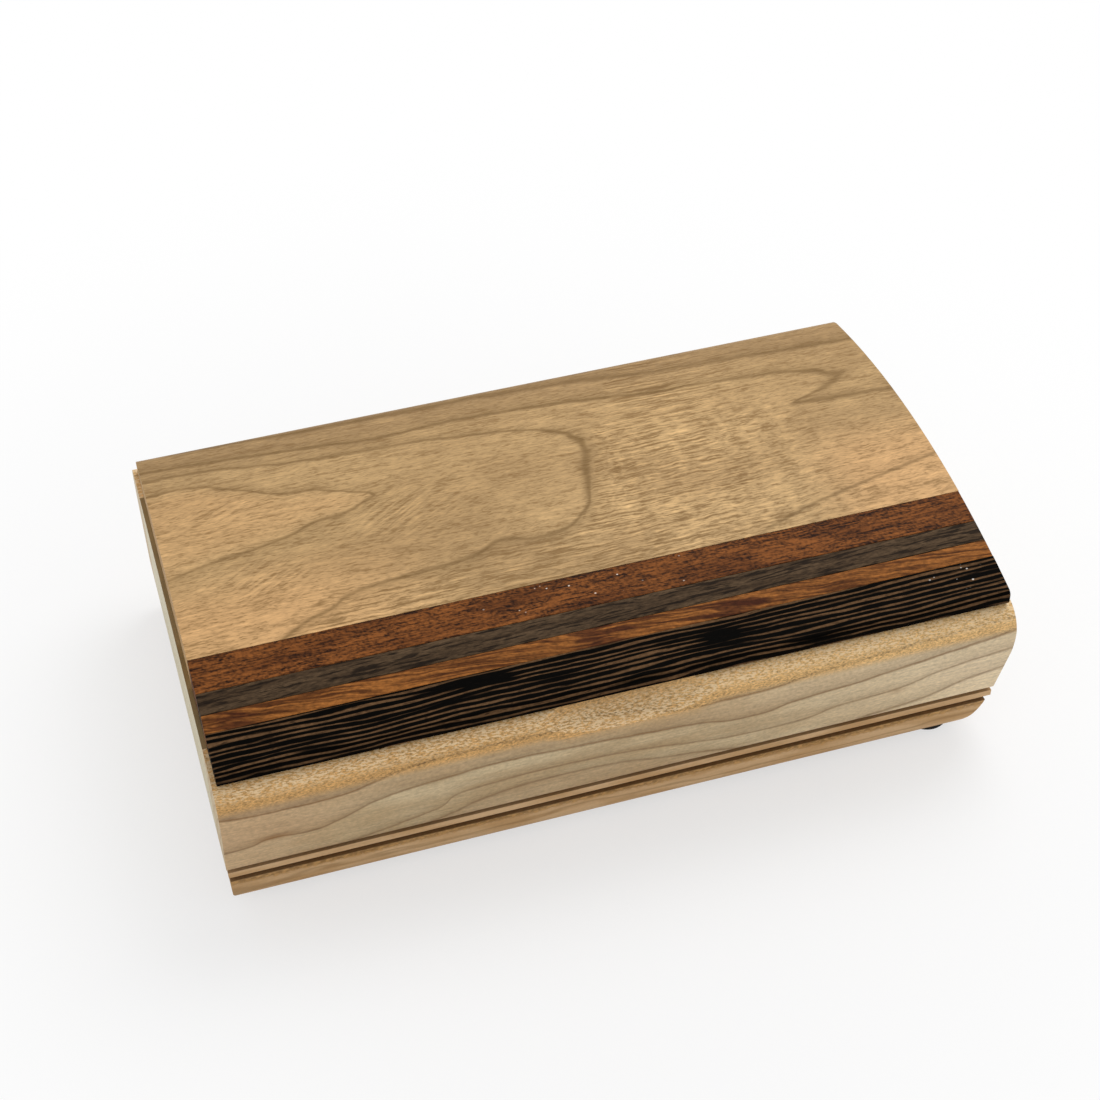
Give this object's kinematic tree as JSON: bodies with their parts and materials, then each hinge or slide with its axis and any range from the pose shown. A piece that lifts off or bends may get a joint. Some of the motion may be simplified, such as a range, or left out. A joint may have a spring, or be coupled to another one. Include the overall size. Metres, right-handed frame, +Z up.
{
  "type": "puzzle box",
  "caption": "Bullnosed maple puzzle box with an arched, striped lid hinged at the back and a base that slides out from under it to show a hidden tray.",
  "frame": {"origin": "centre of the footprint, on the table under the rubber feet", "axes": "+X along the box to its right, -Y out of the front with the thumb scoop, +Z up"},
  "size_m": [0.218, 0.1364, 0.0648],
  "materials": {
    "maple": "oiled satin",
    "rough_maple": "oiled satin",
    "cherry": "oiled satin",
    "bubinga": "oiled satin",
    "bog_oak": "oiled satin",
    "padauk": "oiled satin",
    "wenge": "oiled satin",
    "brass": "brushed",
    "felt": "felt",
    "rubber": "matt"
  },
  "bodies": {
    "base": {"base_block": "rough_maple", "tray_lining": "felt", "base_bolt_cover": "brass", "stop_pin": "brass", "front_left_foot": "rubber", "front_right_foot": "rubber", "back_left_foot": "rubber", "back_right_foot": "rubber"},
    "box": {"front_rail": "maple", "back_rail": "maple", "left_end": "maple", "right_end": "maple", "corner_dowels": "rough_maple", "compartment_floor": "rough_maple", "compartment_lining": "felt", "front_runner": "rough_maple", "runner_catch": "rough_maple", "back_runner": "rough_maple", "lid_bolt_bushing": "brass", "left_hinge_box_leaf": "brass", "right_hinge_box_leaf": "brass", "left_hinge_pin": "brass", "right_hinge_pin": "brass", "box_leaf_screws": "brass"},
    "lid": {"cherry_panel": "cherry", "bubinga_strip": "bubinga", "grey_strip": "bog_oak", "orange_strip": "padauk", "wenge_strip": "wenge", "left_batten": "maple", "right_batten": "maple", "left_hinge_lid_leaf": "brass", "right_hinge_lid_leaf": "brass", "lid_leaf_screws": "brass"},
    "lid_lock": {"lid_bolt": "brass"},
    "base_lock": {"base_bolt": "brass"}
  },
  "joints": [
    {"name": "box_slide", "type": "slide", "parent": "base", "child": "box", "axis": [1, 0, 0], "range_m": [0, 0.095]},
    {"name": "lid_hinge", "type": "hinge", "parent": "box", "child": "lid", "pos_m": [0, 0.0645, 0.0502], "axis": [-1, 0, 0], "range_deg": [0, 95]},
    {"name": "lid_bolt_slide", "type": "slide", "parent": "box", "child": "lid_lock", "axis": [1, 0, 0], "range_m": [0, 0.0049]},
    {"name": "base_bolt_slide", "type": "slide", "parent": "base", "child": "base_lock", "axis": [0, -1, 0], "range_m": [0, 0.006]}
  ]
}
